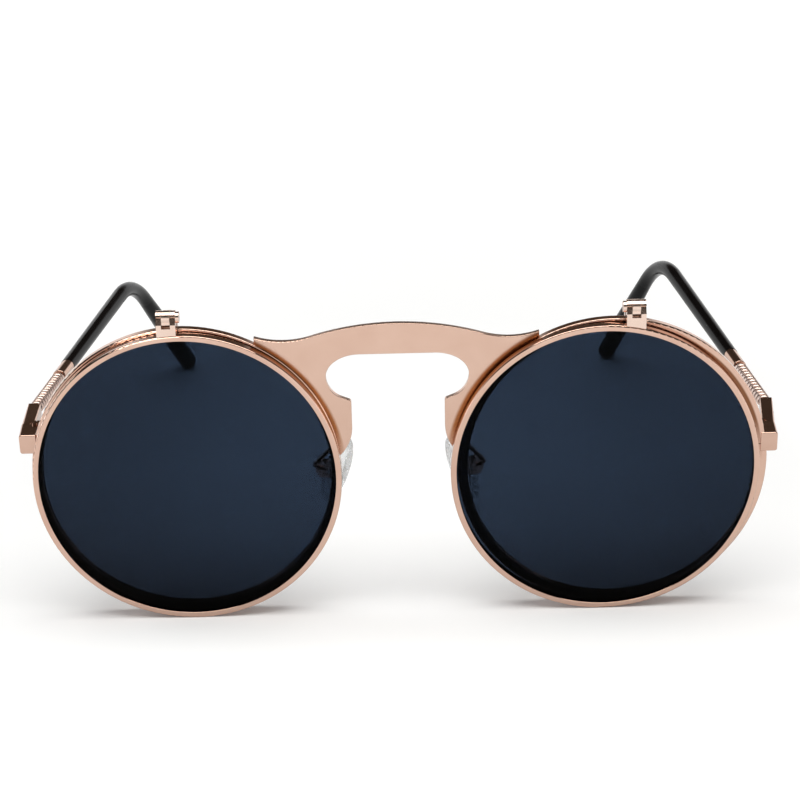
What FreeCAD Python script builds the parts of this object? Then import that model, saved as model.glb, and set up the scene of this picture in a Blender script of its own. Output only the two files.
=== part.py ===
import FreeCAD, Part
import math
import os

# Flip-up round sunglasses in millimetres, standing on a table: temples open, dark lenses down.
# +X is to the right seen from the front, +Y to the back, +Z up.
# Pieces are drawn for the right-hand side and mirrored for the left.
# While drawing, Y = 0 is the front face of the flip rims and Z = 0 the height of the lens centres.

V = FreeCAD.Vector
X_AXIS = V(1, 0, 0)
Y_AXIS = V(0, 1, 0)
Z_AXIS = V(0, 0, 1)

# Fixed rims and clear lenses
lens_gap = 24.8             # between the openings of the two fixed rims
fixed_open_r = 26.3
fixed_rim_w = 1.85          # radial width
fixed_rim_d = 1.8           # front to back
clear_lens_t = 1.0
saw_cut = 0.12              # slit that lets the fixed rim open

# Flip rims and dark lenses
flip_step = 0.6             # flip opening larger in radius than the fixed one
flip_rim_w = 1.05
flip_rim_d = 2.0
flip_lens_t = 1.0
rim_gap = 0.5               # between the flip rim and the fixed rim behind it
flip_inset = {"left": 0.25, "right": 1.5}    # how far each flip rim sits towards the nose
flip_drop = 0.25            # flip rims lower than the fixed ones

# Grooves and edges of the rims
groove_depth = 0.4
lens_clearance = 0.04
rim_edge_r = 0.25           # outer edges
rim_inner_r = 0.12          # edges of the opening

# Bridge plate
bridge_t = 1.2
bridge_below = 0.05         # crown at the middle below the tops of the rims
crown_r = 52.5
dip_out = 7.7               # lowest point of the shoulder, outside the rim's opening
dip_drop = 3.0              # shoulder below the crown
tip_in = 13.4               # where the shoulder ends on the rim, from the lens centre
keyhole_r = 4.4             # lower rounding of the keyhole's ends
keyhole_rise = 4.2          # roof of the keyhole above its ends
roof_round = 6.1            # length of the roof's rounded ends
lip_slant = 22.0            # degrees, lips under the keyhole falling towards the middle
lip_r = 0.5
keyhole_drop = 9.9          # middle of the keyhole below the crown
leg_w = 4.0                 # leg beside the rim's opening
bridge_edge_r = 0.1
leg_straight = 5.2          # straight inner edge below the keyhole
leg_end_drop = 5.6          # rounded end of the leg below that edge
leg_end_in = 2.2            # how far the leg's end runs into the rim

# Flip hinges
flip_hinge_out = {"left": 1.65, "right": 3.45}    # outside the lens centre
flip_hinge_w = 3.4
flip_hinge_rise = 2.55      # hinge axis above the fixed rim
flip_axis_inset = 0.5       # hinge axis in front of the flip rim's back face
flip_knuckle_r = 1.25
flip_tongue_w = 1.45
flip_slot_r = 1.85          # round slot in the bracket that the tongue turns in
flip_notch = 1.7            # straight notch in front of that slot, below the hinge axis
flip_plate_inset = 0.05     # bracket behind the rim's front face
slope_low = 1.0             # sloping front of the bracket's knuckles, from below the hinge axis
slope_top = 0.45            # to above that axis
slope_in = 0.8              # and this far back
flip_screw_r = 0.5
flip_head_r = 1.0
flip_head_t = 0.6
tongue_face_h = 1.5         # flat front face of the tongue
tongue_face_in = 0.15       # that face behind the knuckles' front

# Endpieces and rim locks
endpiece_z = {"left": 6.7, "right": 3.8}    # middle of each endpiece above the lens centres
endpiece_reach = 1.75       # beyond the fixed rim
endpiece_w = 3.0
endpiece_h = 3.65
endpiece_d = 5.4
endpiece_flare = 0.5        # how far it leans outwards on its way back
endpiece_proud = 0.2        # in front of the fixed rim
endpiece_corner_r = 0.45
endpiece_edge_r = 0.2
lock_wall = 0.4             # outer wall of the closing block's pocket
lock_block_d = 2.0
lock_block_h = 1.35
lock_screw_r = 0.35
lock_head_r = 0.6
lock_head_t = 0.4
lock_thread = 1.6           # screw length above the closing block

# Temple hinges
temple_knuckle_r = 1.05
temple_pin_r = 0.45
temple_pin_head_r = 0.8
temple_pin_head_t = 0.35
temple_pin_inset = 0.2      # pin axis outside the endpiece's inner face
temple_butt_gap = 0.05

# Temples
temple_toe = {"left": 5.85, "right": 6.2}   # degrees inwards, behind the block
temple_rise = {"left": -0.6, "right": 2.6}  # degrees upwards
temple_straight = 68.5      # from the block to the ear hook
bend_r = 27.3
bend_angle = {"left": 43.3, "right": 49.4}
hook_lean = 7.1             # degrees that the ear hook leans inwards
block_w = 2.5
block_h = 3.0
block_corner_r = 0.6
block_len = 10.1
block_end = 2.45            # square end that the spring stands on
block_end_r = 0.3
block_shift = {"left": 0.6, "right": 1.5}   # that end further out than the mouth
socket_depth = 4.0          # core inside the block
core_r = 0.4
spring_wire = 0.65
spring_r = 0.95             # to the middle of the wire
spring_pitch = 1.25
spring_turns = 12
spring_end_r = 0.5          # bend from the last turn to the straight end
spring_end_angle = 259.0    # where the first turn starts
ferrule_len = 6.2
ferrule_r = 1.36
ferrule_edge_r = 0.15
sleeve_front_r = 1.42
sleeve_bend_r = 1.62
tip_r = 2.1
tip_straight = 14.0         # straight cylinder at the free end
core_stop = 10.0            # core ends this far before the tip

# Nose pads
pad_in = 27.1               # pad centre from the lens centre, towards the nose
pad_back = 6.2              # pad centre behind the fixed rim
pad_z = -3.3
pad_frontal = 22.0          # degrees, lower end outwards
pad_splay = 25.0            # degrees, back edge outwards
pad_long = 13.2
pad_wide = 7.2
pad_t = 1.7
pad_edge_r = 0.6
lug_long = 1.8
lug_wide = 1.4
lug_axis = 1.5              # screw axis below the pad's outer face
lug_end = 0.7               # lug beyond the screw axis
box_long = 2.8
box_wall = 0.4
box_floor = 0.4
box_gap = 0.3               # between the box and the pad, and round the lug's end
pad_screw_r = 0.4
pad_screw_head_r = 0.75
pad_screw_head_t = 0.35
arm_r = 0.45
arm_z = 3.6                 # height where the arm leaves the rim
arm_back = 2.6              # straight run behind the rim
arm_reach = 1.6             # straight run outside the box
arm_bend_r = 1.0

# Fits
running = 0.04              # a joint that turns
seat = 0.02                 # a fixed pin or wire in its hole
hinge_side = 0.06           # between the knuckles of a hinge
hinge_round = 0.15          # round a knuckle that turns past a solid
cut_over = 1.0              # cutting tools reach this far past what they cut

# Sizes worked out from the values above
eye_x = lens_gap / 2 + fixed_open_r
fixed_out_r = fixed_open_r + fixed_rim_w
flip_open_r = fixed_open_r + flip_step
flip_out_r = flip_open_r + flip_rim_w
fixed_front = flip_rim_d + rim_gap
fixed_back = fixed_front + fixed_rim_d
table_z = -max(fixed_out_r, flip_out_r + flip_drop)
bridge_top = fixed_out_r - bridge_below
dip_x = lens_gap / 2 + dip_out
tip_x = eye_x - tip_in
keyhole_x = lens_gap / 2 - leg_w
keyhole_z = bridge_top - keyhole_drop
flip_axis_y = flip_rim_d - flip_axis_inset
flip_axis_z = fixed_out_r + flip_hinge_rise
endpiece_out = eye_x + fixed_out_r + endpiece_reach
endpiece_in = endpiece_out - endpiece_w
endpiece_front = fixed_front - endpiece_proud
butt_y = endpiece_front + endpiece_d
temple_pin_x = endpiece_in + endpiece_flare + temple_pin_inset
mouth_x = endpiece_out + endpiece_flare - block_w / 2
mouth_y = butt_y + temple_butt_gap
lead = math.atan(spring_pitch / (2 * math.pi * spring_r))
spring_tail = spring_wire + spring_end_r * math.cos(lead)
spring_len = spring_turns * spring_pitch + 2 * spring_tail
sleeve_start = spring_len + ferrule_len


# Shared shapes
def box(x, y, z):
    return Part.makeBox(x[1] - x[0], y[1] - y[0], z[1] - z[0], V(x[0], y[0], z[0]))


def rod(radius, start, end):
    along = end - start
    return Part.makeCylinder(radius, along.Length, start, along)


def arc_from_tangents(start, corner, end):
    # The arc that touches start-corner at start and corner-end at end.
    chord_mid = (start + end) * 0.5
    half = (end - start).Length / 2
    height = (corner - chord_mid).Length
    radius = half * (corner - start).Length / height
    rise = radius - math.sqrt(max(radius**2 - half**2, 0.0))
    return Part.Arc(start, chord_mid + (corner - chord_mid) * (rise / height), end).toShape()


def line(start, end):
    return Part.LineSegment(start, end).toShape()


def corner_trim(before, corner, after, radius):
    to_before = (before - corner).normalize()
    to_after = (after - corner).normalize()
    cut = radius / math.tan(to_before.getAngle(to_after) / 2)
    return corner + to_before * cut, corner + to_after * cut


def rounded_loop(points, radii):
    # A closed outline with an arc at each corner that has a radius.
    count = len(points)
    trims = [corner_trim(points[i - 1], points[i], points[(i + 1) % count], radii[i])
             for i in range(count)]
    edges = []
    for i in range(count):
        if radii[i]:
            edges.append(arc_from_tangents(trims[i][0], points[i], trims[i][1]))
        edges.append(line(trims[i][1], trims[(i + 1) % count][0]))
    return Part.Wire(edges)


def bent_wire(points, bend, radius):
    # A round wire along straight runs joined by arcs.
    edges = []
    last = points[0]
    for before, corner, after in zip(points, points[1:], points[2:]):
        start, end = corner_trim(before, corner, after, bend)
        edges += [line(last, start), arc_from_tangents(start, corner, end)]
        last = end
    edges.append(line(last, points[-1]))
    section = Part.Wire(Part.Circle(points[0], points[1] - points[0], radius).toShape())
    return Part.Wire(edges).makePipeShell([section], True, False)


def rectangle_loop(center, across, up, width, height, radius):
    # A rounded rectangle round a centre, in the plane of two directions.
    corners = [center + across * (sx * width / 2) + up * (sz * height / 2)
               for sx, sz in ((-1, -1), (1, -1), (1, 1), (-1, 1))]
    return rounded_loop(corners, [radius] * 4)


def rim_cutter(radius, center_x, center_z=0):
    # A cylinder through the whole front, for what is soldered to the outside of a rim.
    return rod(radius, V(center_x, -cut_over, center_z), V(center_x, butt_y + cut_over, center_z))


# Rims and lenses
def rim(open_r, width, front, depth, lens_t, center_x, center_z=0):
    out_r = open_r + width
    middle = front + depth / 2
    groove = lens_t / 2 + lens_clearance
    groove_r = open_r + groove_depth
    profile = [(open_r, front), (out_r, front), (out_r, front + depth), (open_r, front + depth),
               (open_r, middle + groove), (groove_r, middle + groove),
               (groove_r, middle - groove), (open_r, middle - groove)]
    radii = [rim_inner_r, rim_edge_r, rim_edge_r, rim_inner_r, 0, 0, 0, 0]
    loop = rounded_loop([V(center_x + r, y, center_z) for r, y in profile], radii)
    return Part.Face(loop).revolve(V(center_x, 0, center_z), Y_AXIS, 360)


def lens(open_r, front, depth, lens_t, center_x, center_z=0):
    start = V(center_x, front + (depth - lens_t) / 2, center_z)
    return rod(open_r + groove_depth - lens_clearance, start, start + Y_AXIS * lens_t)


def endpiece_low(side):
    return endpiece_z[side] - endpiece_h / 2


def endpiece_top(side):
    return endpiece_z[side] + endpiece_h / 2


def slit_low(side):
    return endpiece_low(side) + lock_block_h


def fixed_rim(side):
    ring = rim(fixed_open_r, fixed_rim_w, fixed_front, fixed_rim_d, clear_lens_t, eye_x)
    slit = box((eye_x, endpiece_out), (0, butt_y), (slit_low(side), slit_low(side) + saw_cut))
    return ring.cut(slit)


def clear_lens(side):
    return lens(fixed_open_r, fixed_front, fixed_rim_d, clear_lens_t, eye_x)


def flip_rim(side):
    center_x = eye_x - flip_inset[side]
    return rim(flip_open_r, flip_rim_w, 0, flip_rim_d, flip_lens_t, center_x, -flip_drop)


def flip_lens(side):
    center_x = eye_x - flip_inset[side]
    return lens(flip_open_r, 0, flip_rim_d, flip_lens_t, center_x, -flip_drop)


# Bridge plate
def lies_flat(edge):
    return edge.BoundBox.YLength < seat


def meets_rim(edge):
    middle = edge.valueAt((edge.FirstParameter + edge.LastParameter) / 2)
    return abs(math.hypot(abs(middle.x) - eye_x, middle.z) - fixed_out_r) < seat


def bridge_plate():
    front = fixed_front + (fixed_rim_d - bridge_t) / 2
    dip_z = bridge_top - dip_drop
    # The shoulder's hollow arc touches the crown's arc.
    dip_r = (dip_x**2 + dip_drop**2) / (2 * dip_drop) - crown_r
    turn = math.atan2(dip_x, crown_r + dip_r - dip_drop)
    meet = V(crown_r * math.sin(turn), front, bridge_top - crown_r * (1 - math.cos(turn)))
    half_turn = turn / 2
    before_meet = V(dip_x - dip_r * math.sin(half_turn), front,
                    dip_z + dip_r * (1 - math.cos(half_turn)))
    tip_z = dip_z + dip_r - math.sqrt(dip_r**2 - (tip_x - dip_x)**2)
    tip = V(tip_x, front, tip_z)
    leg_low = keyhole_z - keyhole_r - leg_straight
    leg_end = leg_low - leg_end_drop
    end_x = keyhole_x + keyhole_r
    roof_x = end_x - roof_round
    under = keyhole_z + keyhole_rise
    slant = math.radians(lip_slant)

    def mirrored(point):
        return V(-point.x, point.y, point.z)

    def on_keyhole(angle):
        # A point of the keyhole's lower rounding, an angle below its end.
        return V(keyhole_x + keyhole_r * math.cos(angle), front, keyhole_z - keyhole_r * math.sin(angle))

    crown = Part.Arc(mirrored(meet), V(0, front, bridge_top), meet).toShape()
    sides = []
    for turned in (lambda p: p, mirrored):
        inside_rim = [V(tip_x, front, bridge_top / 2), V(keyhole_x + 2 * leg_end_in, front, leg_end)]
        leg_tip = V(keyhole_x + leg_end_in, front, leg_end)
        leg_top = V(keyhole_x, front, leg_low)
        lip_start = on_keyhole(math.pi / 2 - slant)
        lip = V(keyhole_x, front, lip_start.z - (lip_start.x - keyhole_x) * math.tan(slant))
        lip_out, lip_low = corner_trim(lip_start, lip, leg_top, lip_r)
        keyhole_end = V(end_x, front, keyhole_z)
        roof_center = V(roof_x, front, keyhole_z)
        roof = V(roof_x, front, under)
        roof_curve = Part.Ellipse(turned(keyhole_end), turned(roof), turned(roof_center))
        leg_bow = V(keyhole_x + leg_end_in * 0.22, front, leg_low - leg_end_drop * 0.52)
        sides.append([
            Part.Arc(turned(meet), turned(before_meet), turned(tip)).toShape(),
            line(turned(tip), turned(inside_rim[0])),
            line(turned(inside_rim[0]), turned(inside_rim[1])),
            line(turned(inside_rim[1]), turned(leg_tip)),
            Part.Arc(turned(leg_tip), turned(leg_bow), turned(leg_top)).toShape(),
            line(turned(leg_top), turned(lip_low)),
            arc_from_tangents(turned(lip_low), turned(lip), turned(lip_out)),
            line(turned(lip_out), turned(lip_start)),
            Part.Arc(turned(lip_start), turned(on_keyhole(math.pi / 4)), turned(keyhole_end)).toShape(),
            Part.Arc(roof_curve, 0, math.pi / 2).toShape()])
    roof_line = line(V(roof_x, front, under), V(-roof_x, front, under))
    loop = Part.Wire(Part.__sortEdges__([crown] + sides[0] + [roof_line] + sides[1]))
    plate = Part.Face(loop).extrude(V(0, bridge_t, 0))
    plate = plate.cut(rim_cutter(fixed_out_r, eye_x)).cut(rim_cutter(fixed_out_r, -eye_x))
    free = [edge for edge in plate.Edges if lies_flat(edge) and not meets_rim(edge)]
    return plate.makeFillet(bridge_edge_r, free)


# Flip hinges
def hinge_span(side, low, high):
    middle = eye_x + flip_hinge_out[side]
    return (middle + low, middle + high)


def on_flip_axis(side, along):
    return V(eye_x + flip_hinge_out[side] + along, flip_axis_y, flip_axis_z)


def flip_bracket(side):
    half = flip_hinge_w / 2
    slot = flip_tongue_w / 2 + hinge_side
    leaf = box(hinge_span(side, -half, half), (flip_plate_inset, flip_rim_d),
               (flip_open_r - flip_rim_w, flip_axis_z))
    barrel = rod(flip_knuckle_r, on_flip_axis(side, -half), on_flip_axis(side, half))
    slope = [(flip_plate_inset, -slope_low), (flip_plate_inset + slope_in, slope_top),
             (-cut_over, slope_top), (-cut_over, -slope_low)]
    start = eye_x + flip_hinge_out[side] - half
    corners = [V(start, y, flip_axis_z + z) for y, z in slope]
    wedge = Part.Face(Part.makePolygon(corners + [corners[0]])).extrude(V(flip_hinge_w, 0, 0))
    leaf = leaf.fuse(barrel).cut(wedge)
    leaf = leaf.cut(rod(flip_slot_r, on_flip_axis(side, -slot), on_flip_axis(side, slot)))
    leaf = leaf.cut(box(hinge_span(side, -slot, slot), (-cut_over, flip_axis_y),
                        (flip_axis_z - flip_notch, flip_axis_z)))
    over = half + cut_over
    bore = rod(flip_screw_r + seat, on_flip_axis(side, -over), on_flip_axis(side, over))
    leaf = leaf.cut(bore).cut(rim_cutter(flip_out_r, eye_x - flip_inset[side], -flip_drop))
    return leaf.removeSplitter()


def flip_base(side):
    half = flip_tongue_w / 2
    wide = flip_hinge_w / 2
    face_y = flip_axis_y - flip_knuckle_r + tongue_face_in
    foot_y = flip_axis_y + flip_knuckle_r + hinge_round
    low = fixed_out_r - flip_hinge_rise
    shelf = flip_axis_z - flip_knuckle_r + tongue_face_in
    tongue = rod(flip_knuckle_r, on_flip_axis(side, -half), on_flip_axis(side, half))
    face = box(hinge_span(side, -half, half), (face_y, flip_axis_y), (shelf, shelf + tongue_face_h))
    web = box(hinge_span(side, -half, half), (flip_axis_y, fixed_back), (shelf, shelf + tongue_face_h))
    root = box(hinge_span(side, -half, half), (fixed_front, fixed_back), (low, shelf + tongue_face_h))
    foot = box(hinge_span(side, -wide, wide), (foot_y, fixed_back), (low, shelf + tongue_face_h / 2))
    leaf = tongue.fuse([face, web, root, foot])
    leaf = leaf.cut(rod(flip_screw_r + running, on_flip_axis(side, -wide), on_flip_axis(side, wide)))
    return leaf.cut(rim_cutter(fixed_out_r, eye_x)).removeSplitter()


def slotted_head(center, out, radius, thickness, slot_dir):
    # A round screw head with a driver slot across its face.
    head = rod(radius, center, center + out * thickness)
    slot_w = radius * 0.25
    across = out.cross(slot_dir)
    face = center + out * (thickness * 0.5)
    corners = [face + slot_dir * (a * radius * 2) + across * (b * slot_w / 2)
               for a, b in ((-1, -1), (1, -1), (1, 1), (-1, 1))]
    slot = Part.Face(Part.makePolygon(corners + [corners[0]])).extrude(out * thickness)
    return head.cut(slot)


def flip_hinge_screw(side):
    half = flip_hinge_w / 2
    shank = rod(flip_screw_r, on_flip_axis(side, -half), on_flip_axis(side, half))
    head = slotted_head(on_flip_axis(side, -half), V(-1, 0, 0), flip_head_r, flip_head_t, Z_AXIS)
    return shank.fuse(head).removeSplitter()


# Endpieces, closing blocks and their screws
knuckle_h = (endpiece_h - 2 * hinge_side) / 3
lock_in = endpiece_in + saw_cut
lock_out = endpiece_out - lock_wall
lock_back = fixed_back + lock_block_d


def knuckle_z(side, place):
    return endpiece_low(side) + place * (knuckle_h + hinge_side)


def at_pin(z):
    return V(temple_pin_x, butt_y, z)


def at_lock(z):
    return V((lock_in + lock_out) / 2, (fixed_back + lock_back) / 2, z)


def endpiece(side):
    low = endpiece_low(side)
    top = endpiece_top(side)
    corners = [V(x, endpiece_front, z) for x, z in ((endpiece_in, low), (endpiece_out, low),
                                                    (endpiece_out, top), (endpiece_in, top))]
    outline = rounded_loop(corners, [0, endpiece_corner_r, endpiece_corner_r, 0])
    block = Part.Face(outline).extrude(V(endpiece_flare, endpiece_d, 0))
    face = [edge for edge in block.Edges if edge.BoundBox.YMax < endpiece_front + seat]
    outer = [edge for edge in face if edge.BoundBox.XMax > endpiece_in + seat]
    block = block.makeFillet(endpiece_edge_r, outer)
    for place in (0, 2):
        z = knuckle_z(side, place)
        block = block.fuse(rod(temple_knuckle_r, at_pin(z), at_pin(z + knuckle_h)))
    middle = knuckle_z(side, 1)
    room = rod(temple_knuckle_r + hinge_round,
               at_pin(middle - hinge_side), at_pin(middle + knuckle_h + hinge_side))
    bore = rod(temple_pin_r + seat, at_pin(low - cut_over), at_pin(top + cut_over))
    saddle = rod(fixed_out_r, V(eye_x, fixed_front, 0), V(eye_x, fixed_back, 0))
    split = slit_low(side) + saw_cut
    pocket = box((eye_x, lock_out), (fixed_front, lock_back + saw_cut), (low - cut_over, split))
    thread = rod(lock_screw_r + seat, at_lock(low), at_lock(split + lock_thread + seat))
    return block.cut(room).cut(bore).cut(saddle).cut(pocket).cut(thread).removeSplitter()


def closing_block(side):
    low = endpiece_low(side)
    block = box((lock_in, lock_out - saw_cut), (fixed_back, lock_back), (low, slit_low(side)))
    bore = rod(lock_screw_r + seat, at_lock(low - cut_over), at_lock(endpiece_top(side)))
    sink = rod(lock_head_r + seat, at_lock(low - cut_over), at_lock(low + lock_head_t))
    return block.cut(bore).cut(sink)


def rim_lock_screw(side):
    shoulder = endpiece_low(side) + lock_head_t
    head = slotted_head(at_lock(shoulder), V(0, 0, -1), lock_head_r, lock_head_t, X_AXIS)
    shank = rod(lock_screw_r, at_lock(shoulder), at_lock(slit_low(side) + saw_cut + lock_thread))
    return head.fuse(shank).removeSplitter()


def temple_hinge_screw(side):
    top = endpiece_top(side)
    shank = rod(temple_pin_r, at_pin(endpiece_low(side)), at_pin(top))
    head = slotted_head(at_pin(top), Z_AXIS, temple_pin_head_r, temple_pin_head_t, Y_AXIS)
    return shank.fuse(head).removeSplitter()


# Temples, drawn straight along Y from the block's end and then turned to their place
lean = math.radians(hook_lean)
hook_side = V(-math.sin(lean), 0, -math.cos(lean))
bend_start = V(0, temple_straight, 0)
bend_center = bend_start + hook_side * bend_r


def bend_end(side):
    bend = math.radians(bend_angle[side])
    return bend_center + Y_AXIS * (bend_r * math.sin(bend)) - hook_side * (bend_r * math.cos(bend))


def drop_dir(side):
    bend = math.radians(bend_angle[side])
    return Y_AXIS * math.cos(bend) + hook_side * math.sin(bend)


def temple_place(side):
    turn = FreeCAD.Rotation(Z_AXIS, temple_toe[side]).multiply(FreeCAD.Rotation(X_AXIS, temple_rise[side]))
    climb = block_len * math.tan(math.radians(temple_rise[side]))
    z = endpiece_top(side) - block_end / 2 + climb
    return FreeCAD.Placement(V(mouth_x + block_shift[side], mouth_y + block_len, z), turn)


def drop_len(side):
    # The hook ends where its round tip stands on the table.
    place = temple_place(side)
    return (place.multVec(bend_end(side)).z - table_z - tip_r) / -place.Rotation.multVec(drop_dir(side)).z


def along_drop(side, distance):
    return bend_end(side) + drop_dir(side) * distance


def on_temple(shape, side):
    moved = shape.copy()
    moved.Placement = temple_place(side).multiply(moved.Placement)
    return moved


def bent_part(radius, side):
    section = Part.Face(Part.Wire(Part.Circle(bend_start, Y_AXIS, radius).toShape()))
    return section.revolve(bend_center, Y_AXIS.cross(hook_side), bend_angle[side])


def core_wire(radius, start, over, side):
    straight = rod(radius, V(0, start, 0), bend_start)
    hook = rod(radius, bend_end(side), along_drop(side, drop_len(side) - core_stop + over))
    return straight.fuse([bent_part(radius, side), hook]).removeSplitter()


def temple_core(side):
    return on_temple(core_wire(core_r, -socket_depth, 0, side), side)


def temple_block(side):
    top = endpiece_top(side)
    mouth = V(mouth_x, mouth_y, top - block_h / 2)
    front = rectangle_loop(mouth, X_AXIS, Z_AXIS, block_w, block_h, block_corner_r)
    back = rectangle_loop(V(0, 0, 0), X_AXIS, Z_AXIS, block_end, block_end, block_end_r)
    block = Part.makeLoft([front, on_temple(back, side)], True, True)
    low = knuckle_z(side, 1)
    for z in ((low - block_h, low), (low + knuckle_h, low + knuckle_h + block_h)):
        block = block.cut(rod(temple_knuckle_r + hinge_round, at_pin(z[0]), at_pin(z[1])))
    block = block.fuse(rod(temple_knuckle_r, at_pin(low), at_pin(low + knuckle_h)))
    bore = rod(temple_pin_r + running, at_pin(endpiece_low(side)), at_pin(top))
    socket = rod(core_r + seat, V(0, -socket_depth - seat, 0), V(0, cut_over, 0))
    return block.cut(bore).cut(on_temple(socket, side)).removeSplitter()


def helix_point(angle, y):
    return V(spring_r * math.cos(angle), y, spring_r * math.sin(angle))


def helix_tangent(angle):
    level = math.cos(lead)
    return V(-math.sin(angle) * level, math.sin(lead), math.cos(angle) * level)


def biarc(start, start_dir, end, end_dir):
    # Two arcs with a common tangent, from one point and direction to another.
    reach = end - start
    a = 2 * (start_dir.dot(end_dir) - 1)
    b = -2 * reach.dot(start_dir + end_dir)
    c = reach.dot(reach)
    arm = (-b - math.sqrt(b * b - 4 * a * c)) / (2 * a)
    first = start + start_dir * arm
    second = end - end_dir * arm
    joint = (first + second) * 0.5
    return [arc_from_tangents(start, first, joint), arc_from_tangents(joint, second, end)]


def spring_path():
    quarter = math.pi / 2
    start_angle = math.radians(spring_end_angle)
    first_y = spring_tail
    corner = spring_end_r * math.tan((quarter - lead) / 2)
    head = helix_point(start_angle, first_y)
    head_dir = helix_tangent(start_angle)
    head_corner = head - head_dir * corner
    head_low = head_corner - Y_AXIS * corner
    edges = [line(head_low - Y_AXIS * spring_wire, head_low),
             arc_from_tangents(head_low, head_corner, head)]
    for i in range(4 * spring_turns):
        angles = [start_angle + quarter * k for k in (i, i + 1)]
        points = [helix_point(angles[k], first_y + spring_pitch / 4 * (i + k)) for k in (0, 1)]
        edges += biarc(points[0], helix_tangent(angles[0]), points[1], helix_tangent(angles[1]))
    last_angle = start_angle + quarter * 4 * spring_turns
    last = helix_point(last_angle, first_y + spring_pitch * spring_turns)
    last_corner = last + helix_tangent(last_angle) * corner
    last_high = last_corner + Y_AXIS * corner
    edges += [arc_from_tangents(last, last_corner, last_high),
              line(last_high, last_high + Y_AXIS * spring_wire)]
    return edges


def least_gap(edges):
    # The smallest clear distance between turns, on points along the wire.
    points = [point for edge in edges for point in edge.discretize(5)[:-1]]
    steps = [0.0]
    for before, after in zip(points, points[1:]):
        steps.append(steps[-1] + (after - before).Length)
    apart = math.pi * spring_r
    return min((points[i] - points[j]).Length for i in range(len(points)) for j in range(i)
               if steps[i] - steps[j] > apart) - spring_wire


def temple_spring(side):
    edges = spring_path()
    path = Part.Wire(edges)
    start = edges[0].valueAt(edges[0].FirstParameter)
    section = Part.Wire(Part.Circle(start, Y_AXIS, spring_wire / 2).toShape())
    coil = path.makePipeShell([section], True, False)
    expected = path.Length * math.pi * spring_wire**2 / 4
    print("spring", side, "least gap", round(least_gap(edges), 3),
          "volume over expected", round(coil.Volume / expected, 4))
    return on_temple(coil, side)


def temple_ferrule(side):
    collar = rod(ferrule_r, V(0, spring_len, 0), V(0, sleeve_start, 0))
    collar = collar.makeFillet(ferrule_edge_r, [edge for edge in collar.Edges if lies_flat(edge)])
    bore = rod(core_r + seat, V(0, spring_len - cut_over, 0), V(0, sleeve_start + cut_over, 0))
    return on_temple(collar.cut(bore), side)


def temple_sleeve(side):
    taper = Part.makeCone(sleeve_front_r, sleeve_bend_r, temple_straight - sleeve_start,
                          V(0, sleeve_start, 0), Y_AXIS)
    flare_len = drop_len(side) - tip_straight
    tip_center = along_drop(side, drop_len(side))
    flare = Part.makeCone(sleeve_bend_r, tip_r, flare_len, bend_end(side), drop_dir(side))
    grip = rod(tip_r, along_drop(side, flare_len), tip_center)
    sleeve = taper.fuse([bent_part(sleeve_bend_r, side), flare, grip, Part.makeSphere(tip_r, tip_center)])
    bore = core_wire(core_r + seat, sleeve_start - cut_over, seat, side)
    return on_temple(sleeve.cut(bore).removeSplitter(), side)


# Nose pads, drawn flat and then turned to face the nose
frontal = math.radians(pad_frontal)
splay = math.radians(pad_splay)
pad_down = V(math.sin(frontal), 0, -math.cos(frontal))
level_out = V(math.cos(frontal), 0, math.sin(frontal))
pad_face = Y_AXIS * math.sin(splay) - level_out * math.cos(splay)
pad_center = V(eye_x - pad_in, fixed_back + pad_back, pad_z)
pad_turn = FreeCAD.Rotation(pad_down, pad_down.cross(pad_face) * -1, pad_face, "XZY")
pad_place = FreeCAD.Placement(pad_center, pad_turn)
screw_drop = -pad_t / 2 - lug_axis
box_low = screw_drop - lug_end - box_gap


def on_pad(shape):
    moved = shape.copy()
    moved.Placement = pad_place.multiply(moved.Placement)
    return moved


def nose_pad(side):
    ellipse = Part.Ellipse(V(0, 0, -pad_t / 2), pad_long / 2, pad_wide / 2)
    plate = Part.Face(Part.Wire(ellipse.toShape())).extrude(V(0, 0, pad_t))
    plate = plate.makeFillet(pad_edge_r, plate.Edges)
    lug = box((-lug_long / 2, lug_long / 2), (-lug_wide / 2, lug_wide / 2), (screw_drop - lug_end, 0))
    bore = rod(pad_screw_r + running, V(0, -pad_wide, screw_drop), V(0, pad_wide, screw_drop))
    return on_pad(plate.fuse(lug).cut(bore).removeSplitter())


def pad_box(side):
    inner = lug_wide / 2 + hinge_side
    outer = inner + box_wall
    top = -pad_t / 2 - box_gap
    shell = box((-box_long / 2, box_long / 2), (-outer, outer), (box_low - box_floor, top))
    hollow = box((-box_long, box_long), (-inner, inner), (box_low, 0))
    bore = rod(pad_screw_r + seat, V(0, -pad_wide, screw_drop), V(0, pad_wide, screw_drop))
    return on_pad(shell.cut(hollow).cut(bore))


def pad_screw(side):
    outer = lug_wide / 2 + hinge_side + box_wall
    shank = rod(pad_screw_r, V(0, -outer, screw_drop), V(0, outer, screw_drop))
    head = slotted_head(V(0, -outer, screw_drop), V(0, -1, 0), pad_screw_head_r, pad_screw_head_t, X_AXIS)
    return on_pad(shank.fuse(head).removeSplitter())


def pad_arm(side):
    wire_r = fixed_open_r + fixed_rim_w / 2
    root = V(eye_x - math.sqrt(wire_r**2 - arm_z**2), fixed_back, arm_z)
    end = pad_place.multVec(V(0, 0, box_low - box_floor))
    points = [root, root + Y_AXIS * arm_back, end - pad_face * arm_reach, end]
    return bent_wire(points, arm_bend_r, arm_r)


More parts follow.
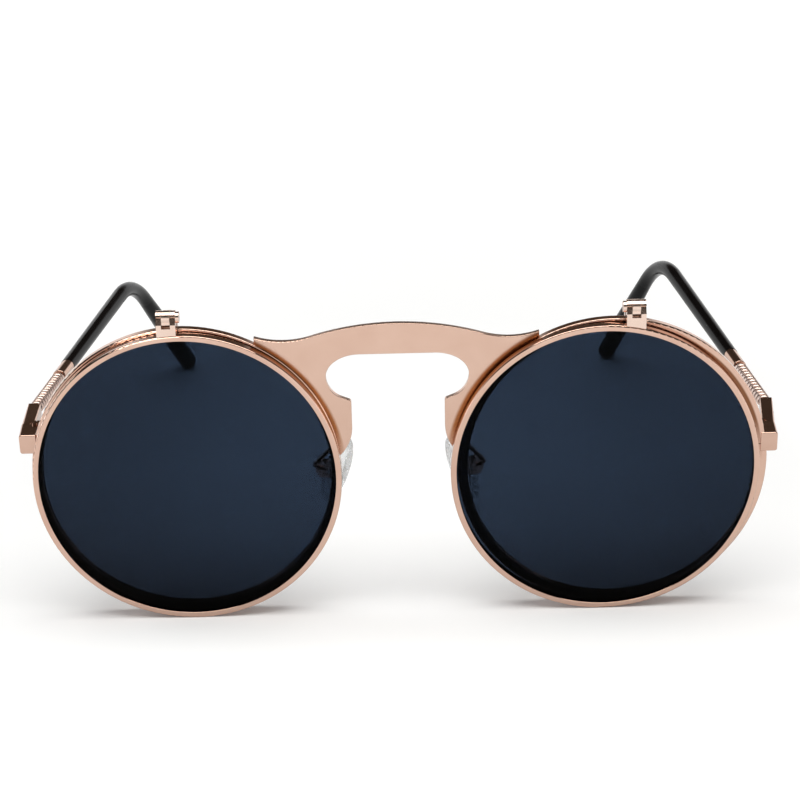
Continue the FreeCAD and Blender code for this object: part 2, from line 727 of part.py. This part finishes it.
# All pieces, stood on the table with the middle of the part over the origin
paired = [fixed_rim, clear_lens, endpiece, closing_block, rim_lock_screw, temple_hinge_screw,
          flip_base, flip_bracket, flip_hinge_screw, flip_rim, flip_lens,
          temple_block, temple_core, temple_spring, temple_ferrule, temple_sleeve,
          nose_pad, pad_box, pad_screw, pad_arm]
pieces = {"bridge_plate": bridge_plate()}
for make in paired:
    for side in ("left", "right"):
        shape = make(side)
        if side == "left":
            shape = shape.mirror(V(0, 0, 0), X_AXIS)
        pieces[make.__name__ + "_" + side] = shape

tips = {side: temple_place(side).multVec(along_drop(side, drop_len(side))) for side in temple_rise}
widest = {side: temple_place(side).multVec(X_AXIS * (block_end / 2)).x for side in temple_rise}
rear_y = max(tip.y for tip in tips.values()) + tip_r
stand = V((widest["left"] - widest["right"]) / 2, -rear_y / 2, -table_z)
os.makedirs("parts", exist_ok=True)
for name, shape in pieces.items():
    shape.translate(stand)
    shape.exportStep("parts/" + name + ".step")
print("moved by", stand)
for side, tip in tips.items():
    arc = math.radians(bend_angle[side]) * bend_r
    print(side, "temple length", round(block_len + temple_straight + arc + drop_len(side) + tip_r, 2))
    along = temple_place(side).Rotation.multVec(drop_dir(side))
    hand = -1 if side == "left" else 1
    print("tip at", V(hand * tip.x, tip.y, tip.z) + stand, "along", V(hand * along.x, along.y, along.z))
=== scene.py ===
import bpy
import math
from mathutils import Matrix, Vector


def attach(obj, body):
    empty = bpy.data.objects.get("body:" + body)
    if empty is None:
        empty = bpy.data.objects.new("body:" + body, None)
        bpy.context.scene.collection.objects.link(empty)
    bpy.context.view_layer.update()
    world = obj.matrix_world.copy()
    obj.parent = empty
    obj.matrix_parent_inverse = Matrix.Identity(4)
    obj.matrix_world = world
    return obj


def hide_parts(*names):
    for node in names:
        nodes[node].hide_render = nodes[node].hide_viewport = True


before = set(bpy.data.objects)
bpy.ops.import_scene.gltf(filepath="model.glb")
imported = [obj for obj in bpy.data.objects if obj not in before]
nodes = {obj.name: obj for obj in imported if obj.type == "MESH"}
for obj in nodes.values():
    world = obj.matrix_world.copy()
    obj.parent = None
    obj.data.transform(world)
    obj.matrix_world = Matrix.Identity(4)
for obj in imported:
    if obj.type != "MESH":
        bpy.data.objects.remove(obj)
scene = bpy.context.scene
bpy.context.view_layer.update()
scene.view_settings.view_transform = "Standard"
bpy.ops.object.select_all(action="DESELECT")

# Camera
# It looks from the front and a little above, so that both round lenses, the bridge
# and the two temples behind them are seen.
camera_place = (0.00013, -0.369683, 0.1664)
camera_focal = 82.87
camera_pan = math.radians(0.04)
camera_tilt = math.radians(90 - 22.16)
camera_roll = math.radians(-1.39)
bpy.ops.object.camera_add(location=camera_place)
camera = bpy.context.object
camera.name = "camera"
camera.data.lens = camera_focal
camera.data.sensor_width = 36.0
camera_turn = Matrix.Rotation(camera_pan, 4, "Z")
camera_turn = camera_turn @ Matrix.Rotation(camera_tilt, 4, "X")
camera_turn = camera_turn @ Matrix.Rotation(camera_roll, 4, "Z")
camera.matrix_world = Matrix.Translation(camera.location) @ camera_turn
camera.data.clip_start = 0.01
camera.data.clip_end = 20.0
scene.camera = camera

# Table top
# A wide sheet of white card that the glasses stand on. It stays white all over and
# keeps the soft shadows under the rims and the tips.
card_size = 6.0
card_drop = 0.00002
seen_white = 0.94
seen_glow = (0.08, 1.0)
seen_glow_from = (0.10, 0.993)
mirrored_white = 0.76
mirrored_glow = (0.0, 0.60)
mirrored_glow_from = (0.07, 0.5)
bounced_white = 0.8


def new_material(name):
    material = bpy.data.materials.new(name)
    material.use_nodes = True
    material.node_tree.nodes.clear()
    return material, material.node_tree.nodes, material.node_tree.links


def value_node(tree_nodes, links, operation, first, second):
    node = tree_nodes.new("ShaderNodeMath")
    node.operation = operation
    for socket, given in zip(node.inputs, (first, second)):
        if isinstance(given, (int, float)):
            socket.default_value = given
        else:
            links.new(given, socket)
    return node.outputs["Value"]


def spread(tree_nodes, links, source, low, high, source_low=0.3, source_high=0.7):
    node = tree_nodes.new("ShaderNodeMapRange")
    node.inputs["From Min"].default_value = source_low
    node.inputs["From Max"].default_value = source_high
    node.inputs["To Min"].default_value = low
    node.inputs["To Max"].default_value = high
    links.new(source, node.inputs["Value"])
    return node.outputs["Result"]


def lit_and_glowing(tree_nodes, links, shade, glow):
    # A matt white that also glows a little, so that only shadows stay visible on it.
    matt = tree_nodes.new("ShaderNodeBsdfDiffuse")
    matt.inputs["Color"].default_value = (shade, shade, shade, 1)
    shine = tree_nodes.new("ShaderNodeEmission")
    links.new(glow, shine.inputs["Strength"])
    both_shaders = tree_nodes.new("ShaderNodeAddShader")
    links.new(matt.outputs["BSDF"], both_shaders.inputs[0])
    links.new(shine.outputs["Emission"], both_shaders.inputs[1])
    return both_shaders.outputs["Shader"]


def either(tree_nodes, links, switch, off, on):
    node = tree_nodes.new("ShaderNodeMixShader")
    links.new(switch, node.inputs["Fac"])
    links.new(off, node.inputs[1])
    links.new(on, node.inputs[2])
    return node.outputs["Shader"]


bpy.ops.mesh.primitive_plane_add(size=card_size, location=(0, 0, -card_drop))
table_top = bpy.context.object
table_top.name = "table_top"
bpy.ops.object.transform_apply(location=True)
card, card_nodes, card_links = new_material("white_card")
card_out = card_nodes.new("ShaderNodeOutputMaterial")
card_place = card_nodes.new("ShaderNodeTexCoord")
card_far = card_nodes.new("ShaderNodeVectorMath")
card_far.operation = "LENGTH"
card_links.new(card_place.outputs["Object"], card_far.inputs[0])
card_rays = card_nodes.new("ShaderNodeLightPath")
card_direct = value_node(card_nodes, card_links, "MAXIMUM", card_rays.outputs["Is Camera Ray"],
                         card_rays.outputs["Is Transmission Ray"])
card_lit = card_nodes.new("ShaderNodeBsdfDiffuse")
card_lit.inputs["Color"].default_value = (bounced_white, bounced_white, bounced_white, 1)
card_seen = lit_and_glowing(card_nodes, card_links, seen_white,
                            spread(card_nodes, card_links, card_far.outputs["Value"],
                                   *seen_glow, *seen_glow_from))
card_mirrored = lit_and_glowing(card_nodes, card_links, mirrored_white,
                                spread(card_nodes, card_links, card_far.outputs["Value"],
                                       *mirrored_glow, *mirrored_glow_from))
card_bounce = either(card_nodes, card_links, card_rays.outputs["Is Glossy Ray"],
                     card_lit.outputs["BSDF"], card_mirrored)
card_links.new(either(card_nodes, card_links, card_direct, card_bounce, card_seen),
               card_out.inputs["Surface"])
table_top.data.materials.append(card)

# Light
# One wide soft lamp hangs above the table and a weak cool one stands far to the left.
# The room is white near the table's edge and dark higher up.
room_steps = ((0.20, (1, 1, 1)), (0.29, (0.075, 0.055, 0.040)), (0.62, (0.035, 0.03, 0.027)))
room_fill_grey = 0.2


def soft_lamp(name, place, target, width, depth, power, colour):
    bpy.ops.object.light_add(type="AREA", location=place)
    lamp = bpy.context.object
    lamp.name = name
    lamp.data.shape = "RECTANGLE"
    lamp.data.size = width
    lamp.data.size_y = depth
    lamp.data.energy = power
    lamp.data.color = colour
    lamp.rotation_euler = (Vector(target) - Vector(place)).to_track_quat("-Z", "Y").to_euler()


soft_lamp("lamp_above", place=(0, -0.16, 0.75), target=(0, -0.05, 0),
          width=0.9, depth=0.6, power=6.4, colour=(1.0, 0.99, 0.97))
soft_lamp("lamp_left", place=(-0.9, 0.25, 0.35), target=(0, 0, 0.03),
          width=0.3, depth=0.5, power=1.1, colour=(0.70, 0.88, 1.0))
world = bpy.data.worlds.new("room")
world.use_nodes = True
scene.world = world
room_nodes, room_links = world.node_tree.nodes, world.node_tree.links
room_nodes.clear()
room_out = room_nodes.new("ShaderNodeOutputWorld")
room_seen = room_nodes.new("ShaderNodeBackground")
room_fill = room_nodes.new("ShaderNodeBackground")
room_fill.inputs["Color"].default_value = (room_fill_grey, room_fill_grey, room_fill_grey, 1)
room_place = room_nodes.new("ShaderNodeTexCoord")
room_height = room_nodes.new("ShaderNodeSeparateXYZ")
room_ramp = room_nodes.new("ShaderNodeValToRGB")
room_ramp.color_ramp.elements.new(0.5)
for step, (height, colour) in zip(room_ramp.color_ramp.elements, room_steps):
    step.position = height
    step.color = (*colour, 1)
room_rays = room_nodes.new("ShaderNodeLightPath")
room_direct = value_node(room_nodes, room_links, "MAXIMUM", room_rays.outputs["Is Camera Ray"],
                         room_rays.outputs["Is Glossy Ray"])
room_shown = value_node(room_nodes, room_links, "MAXIMUM", room_direct,
                        room_rays.outputs["Is Transmission Ray"])
room_links.new(room_place.outputs["Generated"], room_height.inputs["Vector"])
room_links.new(room_height.outputs["Z"], room_ramp.inputs["Fac"])
room_links.new(room_ramp.outputs["Color"], room_seen.inputs["Color"])
room_links.new(either(room_nodes, room_links, room_shown, room_fill.outputs["Background"],
                      room_seen.outputs["Background"]), room_out.inputs["Surface"])

# Bridge plate
# Stamped from copper-alloy sheet with a keyhole through it, polished, soldered to the two
# fixed rims and plated rose gold together with them.
even = (1.0, 1.0, 1.0)
mark_height = 0.00002
metal_cloud = 160.0
# Painted shade: a brown band along each flip rim's upper edge stands in for the dark gap behind it.
gap_shade_heights = (0.0285, 0.0365)
plate_gap_shade = (0.38, 0.15, 0.055)
plate_gap_shade_edge = (0.0285, 0.0290)
flip_centres = {"middle": -0.001075, "half_gap": 0.037825, "height": 0.02795}


def polish_group():
    group = bpy.data.node_groups.new("polish_marks", "ShaderNodeTree")
    for name, kind, given in (("Cloud Scale", "NodeSocketFloat", 90.0),
                              ("Mark Scale", "NodeSocketFloat", 900.0),
                              ("Stretch", "NodeSocketVector", even)):
        socket = group.interface.new_socket(name, in_out="INPUT", socket_type=kind)
        socket.default_value = given
    for name in ("Cloud", "Marks"):
        group.interface.new_socket(name, in_out="OUTPUT", socket_type="NodeSocketFloat")
    inner, links = group.nodes, group.links
    given = inner.new("NodeGroupInput")
    result = inner.new("NodeGroupOutput")
    place = inner.new("ShaderNodeTexCoord")
    stretched = inner.new("ShaderNodeVectorMath")
    stretched.operation = "MULTIPLY"
    links.new(place.outputs["Object"], stretched.inputs[0])
    links.new(given.outputs["Stretch"], stretched.inputs[1])
    cloud = inner.new("ShaderNodeTexNoise")
    cloud.inputs["Detail"].default_value = 3.0
    links.new(place.outputs["Object"], cloud.inputs["Vector"])
    links.new(given.outputs["Cloud Scale"], cloud.inputs["Scale"])
    marks = inner.new("ShaderNodeTexNoise")
    marks.inputs["Detail"].default_value = 4.0
    marks.inputs["Roughness"].default_value = 0.65
    links.new(stretched.outputs["Vector"], marks.inputs["Vector"])
    links.new(given.outputs["Mark Scale"], marks.inputs["Scale"])
    links.new(cloud.outputs["Fac"], result.inputs["Cloud"])
    links.new(marks.outputs["Fac"], result.inputs["Marks"])
    return group


polish_marks = polish_group()


def shaded(tree_nodes, links, mask, dark, light):
    node = tree_nodes.new("ShaderNodeMix")
    node.data_type = "RGBA"
    node.inputs["A"].default_value = (*dark, 1)
    node.inputs["B"].default_value = (*light, 1)
    links.new(mask, node.inputs["Factor"])
    return node.outputs["Result"]


def raised(tree_nodes, links, height, strength, distance):
    node = tree_nodes.new("ShaderNodeBump")
    node.inputs["Strength"].default_value = strength
    node.inputs["Distance"].default_value = distance
    links.new(height, node.inputs["Height"])
    return node.outputs["Normal"]


def surface_marks(tree_nodes, cloud_scale, mark_scale, stretch):
    node = tree_nodes.new("ShaderNodeGroup")
    node.node_tree = polish_marks
    node.inputs["Cloud Scale"].default_value = cloud_scale
    node.inputs["Mark Scale"].default_value = mark_scale
    node.inputs["Stretch"].default_value = stretch
    return node


def lens_distance(tree_nodes, links, spot, middle, half_gap, height):
    # How far a point of the front lies from the centre of the nearer lens.
    across = value_node(tree_nodes, links, "SUBTRACT", spot.outputs["X"], middle)
    across = value_node(tree_nodes, links, "ABSOLUTE", across, 0)
    across = value_node(tree_nodes, links, "SUBTRACT", across, half_gap)
    upwards = value_node(tree_nodes, links, "SUBTRACT", spot.outputs["Z"], height)
    squares = value_node(tree_nodes, links, "ADD",
                         value_node(tree_nodes, links, "MULTIPLY", across, across),
                         value_node(tree_nodes, links, "MULTIPLY", upwards, upwards))
    return value_node(tree_nodes, links, "SQRT", squares, 0)


def painted_gap_shade(tree_nodes, links, colour, tint, centres, edge):
    # Painted shade and reflection: brown in the upper half, just outside each flip rim, for the
    # dark gap behind it.
    place = tree_nodes.new("ShaderNodeTexCoord")
    spot = tree_nodes.new("ShaderNodeSeparateXYZ")
    links.new(place.outputs["Object"], spot.inputs["Vector"])
    distance = lens_distance(tree_nodes, links, spot, **centres)
    near = spread(tree_nodes, links, distance, 1.0, 0.0, *edge)
    upper = spread(tree_nodes, links, spot.outputs["Z"], 0.0, 1.0, *gap_shade_heights)
    node = tree_nodes.new("ShaderNodeMix")
    node.data_type = "RGBA"
    links.new(value_node(tree_nodes, links, "MULTIPLY", near, upper), node.inputs["Factor"])
    links.new(colour, node.inputs["A"])
    node.inputs["B"].default_value = (*tint, 1)
    return node.outputs["Result"]


def plated_metal(name, dark, light, gloss, stretch, mark_scale, mark_depth, gap_shade=None):
    material, tree_nodes, links = new_material(name)
    out = tree_nodes.new("ShaderNodeOutputMaterial")
    metal = tree_nodes.new("ShaderNodeBsdfPrincipled")
    metal.inputs["Metallic"].default_value = 1.0
    marks = surface_marks(tree_nodes, metal_cloud, mark_scale, stretch)
    tint = spread(tree_nodes, links, marks.outputs["Cloud"], 0.0, 1.0)
    colour = shaded(tree_nodes, links, tint, dark, light)
    if gap_shade:
        colour = painted_gap_shade(tree_nodes, links, colour, *gap_shade)
    links.new(colour, metal.inputs["Base Color"])
    links.new(spread(tree_nodes, links, marks.outputs["Marks"], *gloss), metal.inputs["Roughness"])
    links.new(raised(tree_nodes, links, marks.outputs["Marks"], mark_depth, mark_height),
              metal.inputs["Normal"])
    links.new(metal.outputs["BSDF"], out.inputs["Surface"])
    return material


def dress(material, *names):
    for name in names:
        nodes[name].data.materials.clear()
        nodes[name].data.materials.append(material)


# Its colour carries the painted shade band next to the flip rims.
sheet_gold = plated_metal("rose_gold_sheet", dark=(0.70, 0.47, 0.37), light=(0.75, 0.52, 0.415),
                          gloss=(0.16, 0.26), stretch=even, mark_scale=1400.0, mark_depth=0.05,
                          gap_shade=(plate_gap_shade, flip_centres, plate_gap_shade_edge))
dress(sheet_gold, "bridge_plate")

# Rims
# Each rim is drawn wire with a groove inside, bent round. The fixed ones are slit at the
# endpiece and soldered to the bridge, the flip ones are closed rings.
sides = ("left", "right")
rim_dark, rim_light = (0.70, 0.46, 0.36), (0.76, 0.52, 0.415)
along_wire = (1.0, 0.2, 1.0)
# Painted shade: the fixed rim's face just behind each flip rim gets a brown band in the upper half.
rim_gap_shade = (0.24, 0.105, 0.055)
rim_gap_shade_edge = (0.0271, 0.0274)
rim_centres = {"middle": -0.00045, "half_gap": 0.0387, "height": 0.0282}


def both(*names):
    return [name + "_" + side for name in names for side in sides]


def rim_wire(name, gap_shade=None):
    return plated_metal(name, dark=rim_dark, light=rim_light, gloss=(0.07, 0.13),
                        stretch=along_wire, mark_scale=1800.0, mark_depth=0.05, gap_shade=gap_shade)


wire_gold = rim_wire("rose_gold_wire")
dress(wire_gold, *both("flip_rim"))
# The fixed rims carry the painted shade band where the flip rim shades them.
back_gold = rim_wire("rose_gold_back_wire", gap_shade=(rim_gap_shade, rim_centres, rim_gap_shade_edge))
dress(back_gold, *both("fixed_rim"))

# Lenses
# The dark lenses are smoke-grey plastic with a bluish cast, the ones behind are clear.
# Both are cut round, edged to a bevel and snapped into the groove of their rims.
lens_up_share, lens_up_from = 0.62, (0.0, 0.03)
lens_in_share, lens_in_from = 0.38, (0.012, 0.066)
lens_haze = (0.0, 0.03)


def lens_plastic(name, low, high, bending):
    material, tree_nodes, links = new_material(name)
    out = tree_nodes.new("ShaderNodeOutputMaterial")
    plastic = tree_nodes.new("ShaderNodeBsdfPrincipled")
    plastic.inputs["Metallic"].default_value = 0.0
    plastic.inputs["Transmission Weight"].default_value = 1.0
    plastic.inputs["IOR"].default_value = bending
    place = tree_nodes.new("ShaderNodeTexCoord")
    spot = tree_nodes.new("ShaderNodeSeparateXYZ")
    links.new(place.outputs["Object"], spot.inputs["Vector"])
    # Painted shade: the colour darkens towards the bottom and the outer side of each lens.
    upwards = spread(tree_nodes, links, spot.outputs["Z"], 0.0, lens_up_share, *lens_up_from)
    from_nose = value_node(tree_nodes, links, "ABSOLUTE", spot.outputs["X"], 0)
    inwards = spread(tree_nodes, links, from_nose, lens_in_share, 0.0, *lens_in_from)
    shade = value_node(tree_nodes, links, "ADD", upwards, inwards)
    links.new(shaded(tree_nodes, links, shade, low, high), plastic.inputs["Base Color"])
    haze = surface_marks(tree_nodes, cloud_scale=120.0, mark_scale=900.0, stretch=even)
    links.new(spread(tree_nodes, links, haze.outputs["Cloud"], *lens_haze),
              plastic.inputs["Roughness"])
    links.new(plastic.outputs["BSDF"], out.inputs["Surface"])
    return material


smoke = lens_plastic("smoke_lens_plastic", low=(0.0095, 0.0130, 0.0205),
                     high=(0.0212, 0.0340, 0.0590), bending=1.1)
dress(smoke, *both("flip_lens"))
clear = lens_plastic("clear_lens_plastic", low=(0.95, 0.96, 0.965),
                     high=(0.96, 0.97, 0.975), bending=1.15)
dress(clear, *both("clear_lens"))

# Hinges, endpieces and small screws
# Cast and milled copper-alloy blocks, polished and plated like the rims. The flip hinges
# turn on a slotted screw, the endpieces hold the closing screws and the temple hinges.
cast_gold = plated_metal("rose_gold_blocks", dark=(0.64, 0.42, 0.325), light=(0.71, 0.48, 0.385),
                         gloss=(0.06, 0.13), stretch=even, mark_scale=1600.0, mark_depth=0.06)
dress(cast_gold, *both("endpiece", "closing_block", "temple_hinge_screw"))
# A paler copy of the plating for the hinges: painted highlight for their bright front faces.
hinge_gold = plated_metal("rose_gold_hinges", dark=(0.80, 0.60, 0.50), light=(0.88, 0.69, 0.59),
                          gloss=(0.18, 0.28), stretch=even, mark_scale=1600.0, mark_depth=0.06)
dress(hinge_gold, *both("flip_base", "flip_bracket", "flip_hinge_screw"))
plain_steel = plated_metal("plain_steel", dark=(0.50, 0.49, 0.48), light=(0.62, 0.61, 0.60),
                           gloss=(0.18, 0.32), stretch=(1.0, 0.15, 1.0), mark_scale=1500.0,
                           mark_depth=0.08)
dress(plain_steel, *both("rim_lock_screw"))

# Temple blocks, core wires and ferrules
# A milled block turns on the temple hinge, a steel wire is pressed into it and runs through
# the whole temple, and a turned ferrule joins the spring to the sleeve.
dress(cast_gold, *both("temple_block", "temple_ferrule"))
dress(plain_steel, *both("temple_core"))

# Temple springs
# A close coil of flattened, plated wire round the core lets each temple bend outwards. It
# stands between the temple block and the ferrule.
spring_wire_thick = 0.0008
spring_wire_wide = 0.00108
spring_r = 0.000875
spring_len = 0.017279
spring_turns = 13
rings_in_turn = 20
wire_corners = 14
temple_toe = {"left": 5.85, "right": 6.2}
temple_rise = {"left": -0.6, "right": 2.6}
spring_foot = {"left": (-0.0688996, -0.0484232, 0.0353942),
               "right": (0.0689004, -0.0484232, 0.0330586)}
spring_start = {"left": 79.0, "right": 101.0}


def draw_out(distance):
    bpy.ops.mesh.extrude_region_move(TRANSFORM_OT_translate={"value": (0, 0, distance)})


def wound_spring(side, hand):
    bpy.ops.object.select_all(action="DESELECT")
    bpy.ops.mesh.primitive_circle_add(vertices=wire_corners, radius=0.5, fill_type="NGON")
    spring = bpy.context.object
    spring.name = "wound_spring_" + side
    bpy.ops.object.mode_set(mode="EDIT")
    bpy.ops.mesh.select_all(action="SELECT")
    bpy.ops.transform.resize(value=(spring_wire_thick, spring_wire_wide, 1))
    bpy.ops.transform.rotate(value=math.pi / 2, orient_axis="X", center_override=(0, 0, 0))
    bpy.ops.transform.translate(value=(spring_r, 0, spring_wire_wide / 2))
    rings = spring_turns * rings_in_turn
    for _ in range(rings):
        draw_out((spring_len - spring_wire_wide) / rings)
        bpy.ops.transform.rotate(value=-hand * 2 * math.pi / rings_in_turn, orient_axis="Z",
                                 center_override=(0, 0, 0))
    bpy.ops.mesh.select_all(action="SELECT")
    bpy.ops.mesh.normals_make_consistent(inside=False)
    bpy.ops.object.mode_set(mode="OBJECT")
    bpy.ops.object.shade_smooth_by_angle(angle=math.radians(50))
    outwards = 1 if side == "right" else -1
    turn = Matrix.Rotation(math.radians(outwards * temple_toe[side]), 4, "Z")
    turn = turn @ Matrix.Rotation(math.radians(temple_rise[side] - 90), 4, "X")
    turn = turn @ Matrix.Rotation(math.radians(spring_start[side]), 4, "Z")
    spring.matrix_world = Matrix.Translation(spring_foot[side]) @ turn
    bpy.ops.object.transform_apply(location=True, rotation=True, scale=True)
    return spring


spring_gold = plated_metal("rose_gold_spring", dark=(0.80, 0.60, 0.52), light=(0.88, 0.69, 0.60),
                           gloss=(0.32, 0.42), stretch=even, mark_scale=2200.0, mark_depth=0.05)
for side, hand in (("left", 1), ("right", -1)):
    coil = wound_spring(side, hand)
    coil.data.materials.append(spring_gold)
    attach(coil, "temple_" + side)
    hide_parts("temple_spring_" + side)

# Temple sleeves
# A glossy black plastic tube is pushed over the core wire up to the ferrule. It grows
# thicker towards the ear and ends in a round tip.
sleeve_dark, sleeve_light = (0.0016, 0.0012, 0.0012), (0.0036, 0.0030, 0.0030)
sleeve_gloss = (0.12, 0.22)
sleeve_marks = {"cloud_scale": 140.0, "mark_scale": 700.0, "stretch": (1.0, 0.1, 1.0)}


def sleeve_plastic():
    material, tree_nodes, links = new_material("black_sleeve_plastic")
    out = tree_nodes.new("ShaderNodeOutputMaterial")
    plastic = tree_nodes.new("ShaderNodeBsdfPrincipled")
    plastic.inputs["Specular IOR Level"].default_value = 0.09
    plastic.inputs["Specular Tint"].default_value = (0.85, 0.95, 1.0, 1)
    marks = surface_marks(tree_nodes, **sleeve_marks)
    tint = spread(tree_nodes, links, marks.outputs["Cloud"], 0.0, 1.0)
    links.new(shaded(tree_nodes, links, tint, sleeve_dark, sleeve_light),
              plastic.inputs["Base Color"])
    links.new(spread(tree_nodes, links, marks.outputs["Marks"], *sleeve_gloss),
              plastic.inputs["Roughness"])
    links.new(raised(tree_nodes, links, marks.outputs["Marks"], strength=0.08, distance=0.00003),
              plastic.inputs["Normal"])
    links.new(plastic.outputs["BSDF"], out.inputs["Surface"])
    return material


black_sleeve = sleeve_plastic()
dress(black_sleeve, *both("temple_sleeve"))

# Pad arms, boxes and screws
# A thin plated wire is soldered to the back of each fixed rim and carries a small box,
# in which a steel screw holds the nose pad so that it can rock.
dress(wire_gold, *both("pad_arm"))
dress(cast_gold, *both("pad_box"))
dress(plain_steel, *both("pad_screw"))

# Nose pads
# Each pad is moulded from clear silicone: an oval with round edges and a slightly crowned
# face, and on its back a lug with a hole for the pad screw.
pad_place = {"left": (-0.0120496, -0.0557732, 0.0249),
             "right": (0.0111504, -0.0557732, 0.0249)}
pad_long = 0.0132
pad_wide = 0.0072
pad_thick = 0.0017
pad_round = 0.0006
pad_crown = 0.0003
pad_frontal = math.radians(22)
pad_splay = math.radians(25)
lug_size = (0.0018, 0.0014, 0.0026)
lug_middle = -0.00175
screw_place = -0.00235
screw_hole_r = 0.00044
pad_dark, pad_light = (0.90, 0.91, 0.91), (0.96, 0.97, 0.97)
pad_gloss = (0.16, 0.3)
pad_corners = 64
hole_corners = 24


def oval_rings():
    # How far in from the outline and how high each ring of the pad lies.
    flat = pad_thick / 2 - pad_crown
    quarter = [math.radians(angle) for angle in (22.5, 45, 67.5, 90)]
    low = [(pad_round * (1 - math.sin(a)), -pad_thick / 2 + pad_round * (1 - math.cos(a)))
           for a in quarter]
    high = [(pad_round * (1 - math.cos(a)), flat - pad_round * (1 - math.sin(a)))
            for a in quarter]
    crown = [(pad_round + share * pad_wide / 2, flat + pad_crown * lift)
             for share, lift in ((0.2, 0.45), (0.45, 0.8), (0.7, 1.0))]
    return low + [(0, flat - pad_round)] + high + crown


def cut_or_join(target, tool, operation):
    change = target.modifiers.new(operation, "BOOLEAN")
    change.operation = operation
    change.object = tool
    change.solver = "EXACT"
    bpy.ops.object.select_all(action="DESELECT")
    bpy.context.view_layer.objects.active = target
    target.select_set(True)
    bpy.ops.object.modifier_apply(modifier=change.name)
    bpy.data.objects.remove(tool)


def moulded_pad(side):
    bpy.ops.object.select_all(action="DESELECT")
    bpy.ops.mesh.primitive_circle_add(vertices=pad_corners, radius=1.0, fill_type="NGON")
    pad = bpy.context.object
    pad.name = "moulded_pad_" + side
    bpy.ops.object.mode_set(mode="EDIT")
    bpy.ops.mesh.select_all(action="SELECT")
    inset, height = pad_round, -pad_thick / 2
    bpy.ops.transform.resize(value=(pad_long / 2 - inset, pad_wide / 2 - inset, 1))
    bpy.ops.transform.translate(value=(0, 0, height))
    for next_inset, next_height in oval_rings():
        draw_out(next_height - height)
        bpy.ops.transform.resize(value=((pad_long / 2 - next_inset) / (pad_long / 2 - inset),
                                        (pad_wide / 2 - next_inset) / (pad_wide / 2 - inset), 1))
        inset, height = next_inset, next_height
    bpy.ops.mesh.select_all(action="SELECT")
    bpy.ops.mesh.normals_make_consistent(inside=False)
    bpy.ops.object.mode_set(mode="OBJECT")
    bpy.ops.mesh.primitive_cube_add(size=1.0, location=(0, 0, lug_middle))
    lug = bpy.context.object
    lug.scale = lug_size
    bpy.ops.object.transform_apply(location=True, scale=True)
    cut_or_join(pad, lug, "UNION")
    bpy.ops.mesh.primitive_cylinder_add(vertices=hole_corners, radius=screw_hole_r, depth=pad_wide,
                                        location=(0, 0, screw_place), rotation=(math.pi / 2, 0, 0))
    drill = bpy.context.object
    bpy.ops.object.transform_apply(location=True, rotation=True)
    cut_or_join(pad, drill, "DIFFERENCE")
    bpy.ops.object.shade_smooth_by_angle(angle=math.radians(35))
    outwards = 1 if side == "right" else -1
    down = Vector((outwards * math.sin(pad_frontal), 0, -math.cos(pad_frontal)))
    level = Vector((outwards * math.cos(pad_frontal), 0, math.sin(pad_frontal)))
    face = Vector((0, math.sin(pad_splay), 0)) - level * math.cos(pad_splay)
    turn = Matrix((down, face.cross(down), face)).transposed().to_4x4()
    pad.matrix_world = Matrix.Translation(pad_place[side]) @ turn
    bpy.ops.object.transform_apply(location=True, rotation=True, scale=True)
    return pad


def clear_silicone():
    material, tree_nodes, links = new_material("pad_silicone")
    out = tree_nodes.new("ShaderNodeOutputMaterial")
    silicone = tree_nodes.new("ShaderNodeBsdfPrincipled")
    silicone.inputs["Metallic"].default_value = 0.0
    silicone.inputs["Transmission Weight"].default_value = 0.8
    silicone.inputs["IOR"].default_value = 1.2
    marks = surface_marks(tree_nodes, cloud_scale=300.0, mark_scale=1500.0, stretch=even)
    tint = spread(tree_nodes, links, marks.outputs["Cloud"], 0.0, 1.0)
    links.new(shaded(tree_nodes, links, tint, pad_dark, pad_light), silicone.inputs["Base Color"])
    links.new(spread(tree_nodes, links, marks.outputs["Marks"], *pad_gloss),
              silicone.inputs["Roughness"])
    links.new(raised(tree_nodes, links, marks.outputs["Marks"], strength=0.1, distance=mark_height),
              silicone.inputs["Normal"])
    links.new(silicone.outputs["BSDF"], out.inputs["Surface"])
    return material


pad_silicone = clear_silicone()
for side in sides:
    pad = moulded_pad(side)
    pad.data.materials.append(pad_silicone)
    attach(pad, "pad_" + side)
    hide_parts("nose_pad_" + side)
